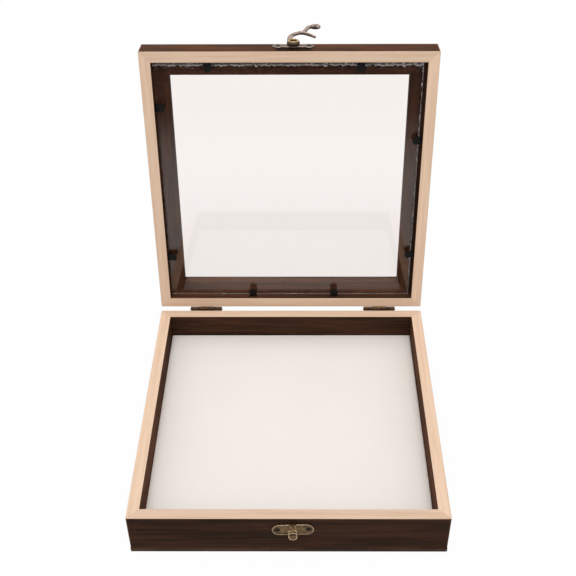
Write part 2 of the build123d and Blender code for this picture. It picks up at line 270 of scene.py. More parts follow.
def stained_plywood():
    made, start = new_material("plywood")
    place = place_mm(start)
    x, y, z = place.parts()
    warp = place.noise(3.0, (0.02, 0.02, 0.0), 2) * 34
    rings = start.joined(x * 0.05, y + warp, z).noise(5.0, (0.3, 0.28, 0.3), 3)
    fibres = place.noise(7.0, (0.08, 2.6, 2.6), 2, 0.6)
    pores = place.noise(9.0, (2.4, 2.4, 2.4), 1)
    shade = rings.ramp(0.35, 0.65).between(colour(stain_deep), colour(ply_figure))
    shade = (fibres.ramp(0.45, 0.25) * 0.5).between(shade, colour(ply_dark))
    core = 1 - abs(z - ply_middle).ramp(ply_half - 0.08, ply_half + 0.08)
    shade = (core * 0.7).between(shade, pores.between(colour(ply_dark), colour(stain_brown)))
    relief = rings * 0.3 + fibres * 0.4 + (1 - core) * 0.3
    roughness = 0.48 + (fibres - 0.5) * 0.2 + core * 0.12
    values = {"Base Color": shade, "Roughness": roughness, "Specular IOR Level": 0.12,
              "Normal": relief.bump(0.06, 0.7)}
    start.surface(values)
    return made


paint(frame["nodes"]["bottom_panel"], stained_plywood())

# Pinning foam. A sheet of fine closed-cell white foam, knife-cut to the inside of the walls and
# laid on the panel. Its cut edges are a little soft, and its face is not quite flat.
foam_low, foam_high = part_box("pinning_foam")
foam_round = 0.9 * mm
foam_cells = 96
foam_wave = 0.1 * mm
foam_waves_per_m = 32
foam_flat_edge = 12 * mm
knife_wobble = 0.05 * mm
foam_white = (247, 241, 234)
foam_shade = (238, 231, 223)


def add_object(name, data):
    made = bpy.data.objects.new(name, data)
    bpy.context.scene.collection.objects.link(made)
    return made


def add_piece(name, mesh, body, slot, *nodes):
    """Show a finished mesh on its body, in place of the CAD nodes that it stands for."""
    piece = add_object(name, mesh)
    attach(piece, body)
    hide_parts(*nodes)
    return piece


def mesh_from(made, name):
    """The mesh of a bmesh that is finished."""
    mesh = bpy.data.meshes.new(name)
    made.to_mesh(mesh)
    made.free()
    return mesh


def foam_sheet():
    """The sheet as a fine grid on top, rounded over its edges and down its sides, closed below."""
    made = bmesh.new()
    middle = (foam_low + foam_high) / 2
    half = (foam_high - foam_low) / 2
    inner_x = half.x - foam_round
    inner_y = half.y - foam_round

    def sag(x, y):
        near_edge = min(inner_x - abs(x), inner_y - abs(y)) / foam_flat_edge
        wave = noise.noise(Vector((x * foam_waves_per_m, y * foam_waves_per_m, 4.7)))
        return foam_wave * (wave * min(near_edge, 1.0) - 1.0)

    def point(i, j):
        x = inner_x * (2 * i / foam_cells - 1)
        y = inner_y * (2 * j / foam_cells - 1)
        return made.verts.new((middle.x + x, middle.y + y, foam_high.z + sag(x, y)))

    grid = [[point(i, j) for j in range(foam_cells + 1)] for i in range(foam_cells + 1)]
    for i in range(foam_cells):
        for j in range(foam_cells):
            made.faces.new((grid[i][j], grid[i + 1][j], grid[i + 1][j + 1], grid[i][j + 1]))

    steps = range(foam_cells)
    edge = [(i, 0) for i in steps] + [(foam_cells, j) for j in steps]
    edge += [(foam_cells - i, foam_cells) for i in steps] + [(0, foam_cells - j) for j in steps]
    ring = [grid[i][j] for i, j in edge]
    drops = [(math.sin(a), 1 - math.cos(a)) for a in np.linspace(0, math.pi / 2, 5)[1:]]
    side_depth = foam_high.z - foam_low.z - foam_wave
    levels = [(out * foam_round, down * foam_round) for out, down in drops]
    levels += [(foam_round, side_depth * share) for share in (0.4, 0.7, 1.0)]
    start = [v.co.copy() for v in ring]
    for out, down in levels:
        lower = []
        for (i, j), top in zip(edge, start):
            wobble = noise.noise(Vector((i * 0.21, j * 0.21, down * 900))) * knife_wobble
            turn_x = (i == foam_cells) - (i == 0)
            turn_y = (j == foam_cells) - (j == 0)
            x = top.x + turn_x * (out + wobble)
            y = top.y + turn_y * (out + wobble)
            lower.append(made.verts.new((x, y, max(top.z - down, foam_low.z))))
        for k, vertex in enumerate(lower):
            before = k - 1
            made.faces.new((ring[before], lower[before], vertex, ring[k]))
        ring = lower
    for vertex in ring:
        vertex.co.z = foam_low.z
    made.faces.new(ring[::-1])
    bmesh.ops.recalc_face_normals(made, faces=made.faces)
    mesh = mesh_from(made, "foam_sheet")
    mesh.shade_smooth()
    mesh.set_sharp_from_angle(angle=math.radians(50))
    return mesh


def white_foam():
    made, start = new_material("foam")
    place = place_mm(start)
    clouds = place.noise(2.0, (0.025, 0.025, 0.025), 2)
    cells = place.node("ShaderNodeTexVoronoi", {}, {"Vector": place, "Scale": 2.6})
    grain = place.noise(6.0, (1.1, 1.1, 1.1), 3, 0.6)
    shade = clouds.ramp(0.3, 0.7) * 0.14 + grain.ramp(0.4, 0.8) * 0.16
    shade = shade.between(colour(foam_white), colour(foam_shade))
    relief = cells * 0.6 + grain * 0.4
    values = {"Base Color": shade, "Roughness": 0.86 + (grain - 0.5) * 0.1, "Specular IOR Level": 0.25,
              "Normal": relief.bump(0.035, 0.6)}
    start.surface(values)
    return made


sheet_mesh = foam_sheet()
sheet_mesh.materials.append(white_foam())
foam = add_piece("foam_sheet", sheet_mesh, "base", "foam", "pinning_foam")

# Hinges. Two small butt hinges of stamped brass with an antique bronze plating: leaves rolled
# into knuckles round a steel pin, screwed to the back. The plating is rubbed bright on its edges.
metal_voxel = 0.13 * mm
oxide = (42, 29, 20)
hinge_tones = ((156, 122, 88), (106, 78, 56), (216, 182, 142))
hinge_lit_side = (0, 0.8, 0.6)
pin_grey = (84, 72, 58)
pin_middles = [sum(end.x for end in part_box(f"hinge_{side}_pin")) / 2 / mm for side in ("left", "right")]
knuckle_joint = 5.6
knuckle_reach = 2.2


def finished_mesh(name, rough_piece):
    """The mesh that an object's modifiers make. The object goes, and its modifiers with it."""
    evaluated = rough_piece.evaluated_get(bpy.context.evaluated_depsgraph_get())
    mesh = bpy.data.meshes.new_from_object(evaluated)
    bpy.data.objects.remove(rough_piece)
    mesh.name = name
    return mesh


def rows_of(items, label, width, kind=float):
    """One named value of all of a mesh's points or edges, a row for each."""
    rows = np.empty((len(items), width), kind)
    items.foreach_get(label, rows.ravel())
    return rows


def cast_mesh(name, source, lit_side, voxel=metal_voxel, rounds=4):
    """A fine mesh of a metal piece with softened edges. It knows how proud each point stands and
    how far it faces the given direction, the side that the light falls on, for painted shade."""
    rough_piece = add_object(name, source)
    remesh = rough_piece.modifiers.new("cast", "REMESH")
    remesh.mode = "VOXEL"
    remesh.voxel_size = voxel
    smooth = rough_piece.modifiers.new("tumble", "SMOOTH")
    smooth.factor = 0.5
    smooth.iterations = rounds
    mesh = finished_mesh(name, rough_piece)
    mesh.materials.clear()
    mesh.shade_smooth()

    place = rows_of(mesh.vertices, "co", 3)
    outward = rows_of(mesh.vertex_normals, "vector", 3)
    first, second = rows_of(mesh.edges, "vertices", 2, int).T
    count = len(place)
    near = np.bincount(first, minlength=count) + np.bincount(second, minlength=count)

    def mean_of_neighbours(values):
        total = np.bincount(first, values[second], count) + np.bincount(second, values[first], count)
        return total / np.maximum(near, 1)

    middle = np.stack([mean_of_neighbours(place[:, axis]) for axis in range(3)], axis=1)
    proud = ((place - middle) * outward).sum(1) / voxel
    for _ in range(3):
        proud = (proud + mean_of_neighbours(proud)) / 2
    # How far each point faces the light; the bronze paints shade on the points that face away.
    facing = outward @ np.array(lit_side)
    for label, values in (("relief", proud), ("facing", facing)):
        mesh.attributes.new(label, "FLOAT", "POINT").data.foreach_set("value", values.astype(np.float32))
    return mesh


def cad_copy(node):
    """A CAD node's mesh with its loose triangles merged."""
    made = bmesh.new()
    made.from_mesh(frame["nodes"][node].data)
    bmesh.ops.remove_doubles(made, verts=made.verts, dist=0.001 * mm)
    return mesh_from(made, node)


def bronze_worn_and_shaded(name, on_lid, seed, tones, shade_facing=(-0.2, 0.5), proud=0.035, extra=None):
    """Plated brass: streaked in two tones, dark with oxide in the hollows, and rubbed to a third tone
    where an edge stands proud. The sides turned away from the light are painted dark, as shade. extra
    makes two masks more, one of what is made bright (wear and painted highlights) and one of what is made
    dark."""
    made, start = new_material(name)
    place = place_mm(start, on_lid)
    light, dark, bright = tones
    relief = start.node("ShaderNodeAttribute", {"attribute_name": "relief"}, output="Fac")
    facing = start.node("ShaderNodeAttribute", {"attribute_name": "facing"}, output="Fac")
    blotches = place.noise(seed, (0.35, 0.35, 0.35), 3, 0.6)
    streaks = place.noise(seed + 2, (0.25, 1.9, 1.9), 2, 0.6)
    pits = place.noise(seed + 4, (2.4, 2.4, 2.4), 2)
    rubbed = (relief + (blotches - 0.5) * proud * 0.8).ramp(proud * 0.35, proud * 1.5)
    hollow = (relief + (pits - 0.5) * proud * 0.6).ramp(-proud * 0.3, -proud * 1.6)
    # Painted shade: 1 on the sides turned away from the light, which go dark towards oxide and less
    # metallic.
    away = 1 - (facing + (blotches - 0.5) * 0.3).ramp(*shade_facing)
    # extra adds rubbed wear and painted highlights to the bright mask, and painted shade, darker joints and
    # the rivet's hollow to the dark one.
    if extra:
        brightened, darkened = extra(place)
        rubbed = rubbed.larger(brightened)
        hollow = hollow.larger(darkened)
    plate = streaks.ramp(0.35, 0.68).between(colour(dark), colour(light))
    plate = (blotches.ramp(0.52, 0.36) * 0.75).between(plate, colour(oxide))
    plate = (pits.ramp(0.4, 0.28) * 0.5).between(plate, colour(oxide))
    plate = (rubbed * 0.8).between(plate, colour(bright))
    plate = (away * 0.85).between(plate, colour(oxide))
    plate = (hollow * 0.85).between(plate, colour(oxide))
    roughness = 0.44 + (pits - 0.5) * 0.2 + hollow * 0.2 - rubbed * 0.14
    metallic = (0.9 - hollow * 0.9 - away * 0.75).larger(0.0)
    values = {"Base Color": plate, "Roughness": roughness, "Metallic": metallic, "Specular IOR Level": 0.08,
              "Normal": (pits * 0.6 + streaks * 0.4).bump(0.04, 0.6)}
    start.surface(values)
    return made


def pin_steel():
    made, start = new_material("pin_steel")
    place = place_mm(start)
    rings = place.noise(4.0, (6.0, 0.4, 0.4), 2)
    dirt = place.noise(8.0, (0.9, 0.9, 0.9), 2)
    shade = dirt.ramp(0.45, 0.7).between(colour(pin_grey), colour(oxide))
    values = {"Base Color": shade, "Metallic": 1.0, "Roughness": 0.36 + (rings - 0.5) * 0.25,
              "Normal": rings.bump(0.02, 0.5)}
    start.surface(values)
    return made


def distance(across, up):
    """How far a place lies from a point, from how far it lies across and up from it."""
    return (across * across + up * up).root()


def darker_knuckle_joints(place):
    """The joints between the knuckles, close to the pin, and the metal beside them are made dark."""
    x, y, z = place.parts()
    from_middle = abs(x - pin_middles[0]).smaller(abs(x - pin_middles[1]))
    joint = 1 - abs(from_middle - knuckle_joint).ramp(0.3, 1.2)
    back = y - pivot.y / mm
    up = z - pivot.z / mm
    return 0.0, joint * (1 - distance(back, up).ramp(knuckle_reach, knuckle_reach + 0.3))


# The leaves' sides that face from the light are painted dark, as shade.
leaf_finish = {
    body: bronze_worn_and_shaded(f"hinge_{body}", body == "lid", seed, hinge_tones, extra=darker_knuckle_joints)
    for body, seed in (("base", 51.0), ("lid", 57.0))
}
steel = pin_steel()
for side in ("left", "right"):
    for body, finish in leaf_finish.items():
        node = f"hinge_{side}_{body}_leaf"
        leaf = cast_mesh(f"{node}_rolled", cad_copy(node), hinge_lit_side)
        leaf.materials.append(finish)
        add_piece(f"{node}_rolled", leaf, body, "antique_bronze", node)
    paint(frame["nodes"][f"hinge_{side}_pin"], steel)

# Screws. Small steel wood screws with raised countersunk heads and a cross recess, plated to
# match the hinges. Each was driven by hand, so no two crosses point the same way.
screw_sizes = {
    "Head Radius": 1.7 * mm,
    "Head Depth": 0.6 * mm,
    "Dome Rise": 0.28 * mm,
    "Shank Radius": 0.78 * mm,
    "Length": 5.4 * mm,
    "Tip Length": 1.4 * mm,
    "Cross Length": 2.0 * mm,
    "Cross Width": 0.42 * mm,
    "Cross Depth": 0.5 * mm,
    "Thread Pitch": 0.9 * mm,
    "Thread Height": 0.16 * mm,
}
screw_turn_seed = 12
screw_plate = (44, 36, 29)
brass_rubbed = (192, 162, 120)
screw_nodes = {
    "base": {"base_hinge_screws": (0, 1, 0), "catch_screws": (0, -1, 0)},
    "lid": {"lid_hinge_screws": (0, 1, 0), "latch_screws": (0, -1, 0)},
}
open_turn = Matrix.Rotation(-lid_angle, 3, "X")


def new_geometry_tree(name, inputs):
    """A Geometry Nodes tree with these named inputs, and a wire for each of them."""
    tree = bpy.data.node_groups.new(name, "GeometryNodeTree")
    tree.interface.new_socket("Geometry", in_out="INPUT", socket_type="NodeSocketGeometry")
    for label, kind in inputs.items():
        tree.interface.new_socket(label, in_out="INPUT", socket_type=kind)
    tree.interface.new_socket("Geometry", in_out="OUTPUT", socket_type="NodeSocketGeometry")
    group = tree.nodes.new("NodeGroupInput")
    return {socket.name: Wire(tree, socket) for socket in group.outputs if socket.name}


def grown_mesh(name, tree, seed_mesh, values):
    """Run a tree on a mesh with these inputs, and give back what it makes as a plain mesh."""
    carrier = add_object(name, seed_mesh)
    modifier = carrier.modifiers.new(name, "NODES")
    modifier.node_group = tree
    for item in tree.interface.items_tree:
        if item.in_out == "INPUT" and item.name in values:
            modifier[item.identifier] = values[item.name]
    return finished_mesh(name, carrier)


def screw_tree():
    """A screw built from its sizes and set on every point, along that point's own direction."""
    kinds = {label: "NodeSocketFloat" for label in screw_sizes}
    kinds.update({"Turn Seed": "NodeSocketInt", "Finish": "NodeSocketMaterial"})
    size = new_geometry_tree("screws", kinds)
    points = size["Geometry"]

    def shape(kind, values, settings=None, output=0):
        return points.node(kind, settings, values, output)

    def moved(geometry, x, y, z):
        values = {"Geometry": geometry, "Translation": points.joined(x, y, z)}
        return shape("GeometryNodeTransform", values)

    head = shape("GeometryNodeMeshCone", {
        "Vertices": 32, "Side Segments": 2, "Fill Segments": 6, "Radius Top": size["Head Radius"],
        "Radius Bottom": size["Shank Radius"], "Depth": size["Head Depth"]}, {"fill_type": "TRIANGLE_FAN"})
    head = moved(head, 0.0, 0.0, 0 - size["Head Depth"])
    x, y, z = shape("GeometryNodeInputPosition", {}).parts()
    out = (x * x + y * y) / (size["Head Radius"] * size["Head Radius"])
    dome = size["Dome Rise"] * (1 - out).larger(0.0)
    on_top = shape("FunctionNodeCompare", {0: z, 1: -0.01 * mm}, {"operation": "GREATER_THAN"})
    head = shape("GeometryNodeSetPosition", {
        "Geometry": head, "Selection": on_top, "Offset": points.joined(0.0, 0.0, dome)})

    def bar(x, y):
        depth = size["Cross Depth"] * 2
        cube = shape("GeometryNodeMeshCube", {"Size": points.joined(x, y, depth)})
        return moved(cube, 0.0, 0.0, size["Dome Rise"])

    long = size["Cross Length"]
    thick = size["Cross Width"]
    for arm in (bar(long, thick), bar(thick, long)):
        head = shape("GeometryNodeMeshBoolean", {"Mesh 1": head, "Mesh 2": arm}, {"operation": "DIFFERENCE"})

    def rod(end_radius, depth, foot):
        values = {"Vertices": 20, "Radius Top": size["Shank Radius"], "Radius Bottom": end_radius,
                  "Depth": depth}
        return moved(shape("GeometryNodeMeshCone", values), 0.0, 0.0, foot)

    straight = size["Length"] - size["Tip Length"] - size["Head Depth"]
    shank = rod(size["Shank Radius"], straight, 0 - size["Head Depth"] - straight)
    tip = rod(size["Shank Radius"] * 0.1, size["Tip Length"], 0 - size["Length"])
    line = shape("GeometryNodeCurveSpiral", {
        "Resolution": 14, "Rotations": straight / size["Thread Pitch"], "Start Radius": size["Shank Radius"],
        "End Radius": size["Shank Radius"], "Height": straight * 0.94})
    ridge = shape("GeometryNodeCurvePrimitiveCircle", {"Resolution": 3, "Radius": size["Thread Height"]})
    thread = shape("GeometryNodeCurveToMesh", {"Curve": line, "Profile Curve": ridge, "Fill Caps": True})
    thread = moved(thread, 0.0, 0.0, 0 - size["Head Depth"] - straight * 0.98)

    join = points.tree.nodes.new("GeometryNodeJoinGeometry")
    for part in (thread, tip, shank, head):
        points.tree.links.new(part.socket, join.inputs[0])
    screw = Wire(points.tree, join.outputs[0])

    outward = shape("GeometryNodeInputNamedAttribute", {"Name": "outward"}, {"data_type": "FLOAT_VECTOR"})
    turn = shape("FunctionNodeRandomValue", {2: 0.0, 3: math.tau, "Seed": size["Turn Seed"]},
                 {"data_type": "FLOAT"}, 1)
    about = shape("FunctionNodeAxisAngleToRotation", {"Axis": (0, 0, 1), "Angle": turn})
    facing = shape("FunctionNodeAlignRotationToVector", {"Vector": outward}, {"axis": "Z"})
    facing = shape("FunctionNodeRotateRotation", {"Rotation": facing, "Rotate By": about},
                   {"rotation_space": "LOCAL"})
    screws = shape("GeometryNodeInstanceOnPoints", {"Points": points, "Instance": screw, "Rotation": facing})
    screws = shape("GeometryNodeRealizeInstances", {"Geometry": screws})
    finished = shape("GeometryNodeSetMaterial", {"Geometry": screws, "Material": size["Finish"]})
    shape("NodeGroupOutput", {0: finished})
    return points.tree


def screw_seats(node, outward):
    """The middle of each head's top in a CAD node of screws, found from its separate solids."""
    solids = bmesh.new()
    solids.from_mesh(cad_copy(node))
    left = list(solids.verts)
    across = outward.orthogonal().normalized()
    other = outward.cross(across)
    seats = []
    while left:
        edge = {left[0]}
        solid = set(edge)
        while edge:
            edge = {e.other_vert(v) for v in edge for e in v.link_edges} - solid
            solid |= edge
        left = [v for v in left if v not in solid]
        reach = [[v.co.dot(axis) for v in solid] for axis in (across, other, outward)]
        middle = [(min(values) + max(values)) / 2 for values in reach[:2]]
        top = max(reach[2]) - screw_sizes["Dome Rise"]
        seats.append(across * middle[0] + other * middle[1] + outward * top)
    solids.free()
    return seats


def screw_bronze(on_lid):
    made, start = new_material("screw_lid" if on_lid else "screw_base")
    place = place_mm(start, on_lid)
    blotches = place.noise(14.0, (0.9, 0.9, 0.9), 3, 0.6)
    scratches = place.noise(17.0, (0.8, 5.0, 5.0), 2)
    shade = blotches.ramp(0.36, 0.6).between(colour(screw_plate), colour(oxide))
    shade = (scratches.ramp(0.64, 0.78) * 0.4).between(shade, colour(brass_rubbed))
    values = {"Base Color": shade, "Metallic": 0.55, "Roughness": 0.42 + (blotches - 0.5) * 0.3,
              "Specular IOR Level": 0.15,
              "Normal": (scratches * 0.4 + blotches * 0.6).bump(0.03, 0.5)}
    start.surface(values)
    return made


screws = screw_tree()
for body, nodes in screw_nodes.items():
    seats = []
    directions = []
    for node, direction in nodes.items():
        outward = Vector(direction)
        if body == "lid":
            outward = open_turn @ outward
        found = screw_seats(node, outward)
        seats += found
        directions += [outward] * len(found)
    seat_mesh = bpy.data.meshes.new("seats")
    seat_mesh.from_pydata(seats, [], [])
    outward_of = seat_mesh.attributes.new("outward", "FLOAT_VECTOR", "POINT")
    outward_of.data.foreach_set("vector", [value for direction in directions for value in direction])
    values = {**screw_sizes, "Turn Seed": screw_turn_seed, "Finish": screw_bronze(body == "lid")}
    screw_mesh = grown_mesh(f"{body}_screws", screws, seat_mesh, values)
    screw_mesh.shade_smooth()
    screw_mesh.set_sharp_from_angle(angle=math.radians(32))
    add_piece(f"{body}_screws", screw_mesh, body, "screw_bronze", *nodes)

# Catch plate. A stadium plate stamped from brass with a raised border, its tongue bent out and
# down for the hook to go behind. It is plated antique bronze and screwed to the front.
catch_tones = ((134, 108, 76), (84, 66, 44), (208, 180, 150))
tongue_middle = 2.75
tongue_half = 2.7
tongue_round = 22.1
tongue_out = -105.0
bend_height = 26.3
bend_arch = 0.12
bend_shade_drop = 1.4
neck_half = 1.8
shoulder_out = -102.3
plate_face = -101.3
seat_middles = (2.7, 22.73)
seat_out = 9.7
seat_radius = 1.7
catch_tilt = 0.04


def tongue_wear_and_light(place):
    """The tongue is rubbed round its end. Painted highlights lie along its bend and on the shoulders of its
    neck, and painted shade in the line under the bend and beside the neck; round the screw seats the plate
    is made dark."""
    x, y, z = place.parts()
    across = abs(x - tongue_middle)
    outer = 1 - y.ramp(tongue_out - 0.2, tongue_out + 0.2)
    neck = (1 - y.ramp(plate_face - 0.4, plate_face)) * (1 - outer)
    round_end = 1 - z.ramp(tongue_round + 0.6, tongue_round + 1.8)
    reach = distance(across, (z - tongue_round).smaller(0.0))
    end = reach.ramp(tongue_half - 0.8, tongue_half - 0.4) * round_end
    # Painted highlight along the bend, and painted shade in the line just under it.
    from_bend = z + across * across * bend_arch - bend_height
    bend_highlight = (1 - abs(from_bend).ramp(0.15, 0.5)) * outer
    bend_shade = (1 - abs(from_bend + bend_shade_drop).ramp(0.45, 0.95)) * outer * (1 - across.ramp(1.7, 2.2))
    # Painted highlights on the neck's shoulders, and painted shade beside the neck.
    shoulder = 1 - distance(across - neck_half, y - shoulder_out).ramp(0.3, 0.8)
    neck_shade = neck * across.ramp(neck_half + 0.1, neck_half + 0.6)
    neck_shade = neck_shade * (1 - y.ramp(shoulder_out - 1.2, shoulder_out - 0.6))
    from_seat = abs(abs(x - seat_middles[0]) - seat_out)
    height = z - seat_middles[1] - (x - tongue_middle) * catch_tilt
    seat = 1 - distance(from_seat, height).ramp(seat_radius, seat_radius + 0.7)
    dark = bend_shade * 0.9 + neck_shade + seat * (1 - neck) * (1 - outer) * 0.8
    return end * outer + bend_highlight * 0.9 + shoulder * neck, dark


catch = cast_mesh("catch_plate_stamped", cad_copy("catch_plate"), (0, -1, 0))
catch_finish = bronze_worn_and_shaded("catch_plate", False, 63.0, catch_tones, (-0.6, -0.2), extra=tongue_wear_and_light)
catch.materials.append(catch_finish)
add_piece("catch_plate_stamped", catch, "base", "antique_bronze", "catch_plate")

# Lid rails. Four rebated lengths of the same wood, mitred like the walls: a rim that meets the
# base's rim, also sanded bare, and a lip behind it that the glass lies against.
rail_wood = {
    "front": (71.0, 0.955, 1.4),
    "right": (83.0, 1.0, 1.1),
    "back": (97.0, 0.975, 1.35),
    "left": (103.0, 0.975, 1.2),
}
# A painted shadow on the front rail, under the latch plate: its stain is darkened there as shade.
latch_shadow = (3.0, 36.5, 11.5, 3.2)
for side, (seed, pale, deep) in rail_wood.items():
    shadow_patch = latch_shadow if side == "front" else None
    wood = stained_wood(f"rail_{side}", seed, side in ("left", "right"), True, pale, deep, shadow_patch)
    paint(frame["nodes"][f"lid_{side}_rail"], wood)

# Glass. A pane of plain window glass, scored and snapped to size by hand, so that its front edge
# is nipped back and chipped, most of all along the top. It lies on the lid's lip without putty.
pane_corners = [open_to_shut @ v.co for v in frame["nodes"]["glass_pane"].data.vertices]
pane_low = Vector(map(min, zip(*pane_corners)))
pane_high = Vector(map(max, zip(*pane_corners)))
air_gap = 0.03 * mm
nip_depth = 0.8 * mm
snapped_reach = 0.2 * mm
nip_reach = {"top": (1.2 * mm, 2.2 * mm), "right": (0.15 * mm, 1.1 * mm)}
chips_per_mm = 0.32
pane_cells = 20
cell_points = 16
pane_strip = 6 * mm
glass_tint = (254, 248, 245)
chip_highlight = (236, 232, 230)
chip_grey = (96, 90, 90)


def clear_glass():
    """Clear glass that lets the lamps' light through to what lies behind it."""
    made, start = new_material("glass")
    place = place_mm(start, True)
    dust = place.noise(3.0, (0.9, 0.9, 0.9), 3, 0.7).ramp(0.66, 0.9)
    smear = place.noise(9.0, (0.03, 0.05, 0.05), 2)
    values = {
        "Base Color": colour(glass_tint), "Roughness": dust * 0.04 + smear * 0.004,
        "Transmission Weight": 1.0, "IOR": 1.42, "Specular IOR Level": 0.5,
    }
    glass = start.node("ShaderNodeBsdfPrincipled", {}, values)
    clear = start.node("ShaderNodeBsdfTransparent", {}, {"Color": colour(glass_tint)})
    to_lamp = start.node("ShaderNodeLightPath", output="Is Shadow Ray")
    start.node("ShaderNodeOutputMaterial", {}, {"Surface": to_lamp.shader_between(glass, clear)})
    return made


def chipped_glass():
    """The rough shell-like facets where the edge was nipped away, with painted highlights: white specks in
    places, and a white line along the inner edge of the nips.
    """
    made, start = new_material("glass_edge")
    place = place_mm(start, True)
    facets = place.node("ShaderNodeTexVoronoi", {}, {"Vector": place, "Scale": 0.8})
    hackle = place.noise(5.0, (1.6, 1.6, 1.6), 3, 0.7)
    painted_glints = place.noise(8.0, (0.45, 0.45, 0.45), 3, 0.8).ramp(0.52, 0.64)
    arris = start.node("ShaderNodeAttribute", {"attribute_name": "arris"}, output="Fac")
    on_right = place.parts()[0].ramp(pane_high.x / mm - 2.4, pane_high.x / mm - 2.0)
    # Painted highlight: a white line along the arris of the nips, wider along the right side.
    line = arris.ramp(0.55, 0.85).larger(on_right * arris.ramp(0.05, 0.3))
    line = line * place.noise(12.0, (0.2, 0.2, 0.2), 3, 0.7).ramp(0.36, 0.5)
    shade = painted_glints.larger(line).between(colour(chip_grey), colour(chip_highlight))
    values = {"Base Color": shade, "Roughness": 0.3 + facets * 0.3, "Transmission Weight": 0.35,
              "Normal": (facets + hackle * 0.4).bump(0.25)}
    start.surface(values)
    return made


def nip(side, along):
    """How far the front edge is nipped back at a place along a side: little scallops of all sizes."""
    least, most = nip_reach.get(side, (0.0, 0.0))
    turn = {"top": 3.1, "right": 7.7}.get(side, 0.0)
    rough = noise.fractal(Vector((along * chips_per_mm / mm, turn, 0.0)), 0.5, 2.2, 5)
    shell = abs(noise.noise(Vector((along * chips_per_mm * 2.6 / mm, turn, 9.0))))
    return snapped_reach + least + most * min(max(0.28 + rough * 0.5 + shell * 0.6, 0.0), 1.0)


def cut_pane():
    """The pane with the lid shut: coarse faces, and a fine edge all round that the nips are cut in."""
    made = bmesh.new()
    arris = made.verts.layers.float.new("arris")
    sides = ("top", "right", "bottom", "left")
    low = Vector((pane_low.x, pane_low.y))
    high = Vector((pane_high.x, pane_high.y))
    starts = dict(zip(sides, (low, Vector((high.x, low.y)), high, Vector((low.x, high.y)))))
    ahead = dict(zip(sides, map(Vector, ((1, 0), (0, 1), (-1, 0), (0, -1)))))
    inward = dict(zip(sides, map(Vector, ((0, 1), (-1, 0), (0, -1), (1, 0)))))
    length = {side: abs((high - low).dot(ahead[side])) for side in sides}
    front = pane_low.z
    back = pane_high.z - air_gap

    def ring(steps, height, inset, chipped=False):
        """Points all round the pane at one height, set in from its sides, and nipped if chipped."""

        def depth(side, along):
            return inset + (nip(side, along) if chipped else 0.0)

        points = []
        for side, before, after in zip(sides, sides[-1:] + sides, sides[1:] + sides[:1]):
            first = depth(before, length[before])
            last = depth(after, 0.0)
            for k in range(steps):
                share = k / steps
                along = first + share * (length[side] - first - last)
                place = starts[side] + ahead[side] * along
                place += inward[side] * depth(side, share * length[side])
                points.append(made.verts.new((place.x, place.y, height)))
        return points

    fine = pane_cells * cell_points
    nipped = ring(fine, front, 0.0, True)
    shoulder = ring(fine, front + nip_depth, 0.0)
    edge = ring(pane_cells, back, 0.0)
    inner = ring(pane_cells, front, pane_strip)

    for k in range(len(nipped)):
        nipped[k][arris] = 1.0
        chip = made.faces.new((nipped[k - 1], shoulder[k - 1], shoulder[k], nipped[k]))
        chip.material_index = 1
    for coarse, dense, finish in ((inner, nipped, 0), (edge, shoulder, 1)):
        middle = cell_points // 2
        for k, first in enumerate(coarse):
            second = coarse[(k + 1) % len(coarse)]
            run = [dense[(k * cell_points + step) % len(dense)] for step in range(cell_points + 1)]
            fans = [(first, a, b) for a, b in zip(run[:middle], run[1:])]
            fans += [(first, run[middle], second)]
            fans += [(second, a, b) for a, b in zip(run[middle:], run[middle + 1:])]
            for corners in fans:
                made.faces.new(corners).material_index = finish

    count = pane_cells
    for border in (inner, edge):

        def on_border(i, j):
            if j == 0:
                return border[i]
            if i == count:
                return border[count + j]
            if j == count:
                return border[3 * count - i]
            return border[(4 * count - j) % (4 * count)]

        grid = {}
        for i in range(count + 1):
            for j in range(count + 1):
                if i in (0, count) or j in (0, count):
                    grid[i, j] = on_border(i, j)
                else:
                    x = on_border(i, 0).co.x
                    y = on_border(0, j).co.y
                    grid[i, j] = made.verts.new((x, y, border[0].co.z))
        for i in range(count):
            for j in range(count):
                made.faces.new((grid[i, j], grid[i + 1, j], grid[i + 1, j + 1], grid[i, j + 1]))

    bmesh.ops.recalc_face_normals(made, faces=made.faces)
    mesh = mesh_from(made, "glass_pane_cut")
    mesh.transform(open_to_shut.inverted())
    mesh.shade_flat()
    return mesh


pane_mesh = cut_pane()
pane_mesh.materials.append(clear_glass())
pane_mesh.materials.append(chipped_glass())
add_piece("glass_pane_cut", pane_mesh, "lid", "window_glass", "glass_pane")

# Glazing points. Thin strips of blackened steel with clipped corners, shot into the inside of
# the rails over the glass, two to a rail. They hold the pane, and stand a little off it.
point_black = (20, 18, 18)
point_worn = (58, 53, 50)


def black_steel():
    made, start = new_material("black_steel")
    place = place_mm(start, True)
    scale = place.noise(5.0, (0.8, 0.8, 0.8), 3, 0.6)
    scratches = place.noise(8.0, (1.2, 6.0, 2.0), 2)
    shade = scale.ramp(0.5, 0.8) * 0.5 + scratches.ramp(0.66, 0.8) * 0.3
    shade = shade.between(colour(point_black), colour(point_worn))
    values = {"Base Color": shade, "Metallic": 0.3, "Roughness": 0.5 + (scale - 0.5) * 0.25,
              "Specular IOR Level": 0.15,
              "Normal": (scale * 0.6 + scratches * 0.4).bump(0.03, 0.5)}
    start.surface(values)
    return made


paint(frame["nodes"]["glazing_points"], black_steel())

# Latch plate and rivet. A scalloped plate of the same plated brass on the front of the lid, with
# a boss in its middle, and the hollow rivet that is peened over to hold the hook on it.
latch_tones = ((150, 126, 112), (98, 80, 68), (212, 190, 174))
rivet_tones = ((150, 116, 74), (96, 66, 34), (204, 172, 126))
latch = frame["joints"][1]
latch_out = Vector(latch["axis"])
rivet_seat = open_to_shut @ Vector(latch["pos_m"]) / mm
rivet_top = -104.35
dimple_radius = 2.8
rivet_glint = (2.4, -2.9)


